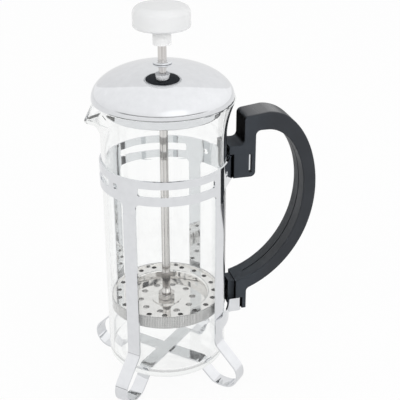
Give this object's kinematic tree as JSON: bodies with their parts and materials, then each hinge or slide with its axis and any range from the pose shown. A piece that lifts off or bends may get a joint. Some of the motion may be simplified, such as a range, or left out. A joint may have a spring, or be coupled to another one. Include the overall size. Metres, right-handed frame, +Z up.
{
  "type": "french press",
  "caption": "Slim glass french press in a polished frame with rolled feet, a domed lid, a sprung mesh plunger with a round knob, and a moulded loop handle.",
  "frame": {"origin": "on the plunger's axis, at the level of the surface that the feet stand on", "axes": "+Z up along the plunger, +X towards the handle, -X towards the spout"},
  "size_m": [0.1321, 0.0796, 0.2255],
  "materials": {
    "chrome": "polished",
    "steel": "satin",
    "mesh": "woven",
    "glass": "clear",
    "knob_plastic": "gloss",
    "handle_plastic": "satin"
  },
  "bodies": {
    "frame": {"frame_band": "chrome", "leg_strap_a": "chrome", "leg_strap_b": "chrome", "handle_bracket": "chrome", "handle": "handle_plastic", "handle_clip": "steel"},
    "beaker": {"glass_beaker": "glass"},
    "lid": {"lid_dome": "chrome", "lid_flange": "chrome", "lid_skirt": "chrome", "rod_bush": "steel", "bush_retainer": "steel"},
    "plunger": {"knob": "knob_plastic", "knob_base": "handle_plastic", "knob_stem": "knob_plastic", "plunger_rod": "steel", "hub_nut": "steel", "hub_washer": "steel", "filter_plate": "steel", "spring_ring": "steel", "mesh_filter": "mesh", "cross_plate": "steel", "lower_nut": "steel"}
  },
  "joints": [
    {"name": "beaker_lift", "type": "slide", "parent": "frame", "child": "beaker", "axis": [0, 0, 1], "range_m": [0, 0.13]},
    {"name": "lid_lift", "type": "slide", "parent": "beaker", "child": "lid", "axis": [0, 0, 1], "range_m": [0, 0.14]},
    {"name": "plunger_slide", "type": "slide", "parent": "lid", "child": "plunger", "axis": [0, 0, 1], "range_m": [-0.0088, 0.11]}
  ]
}
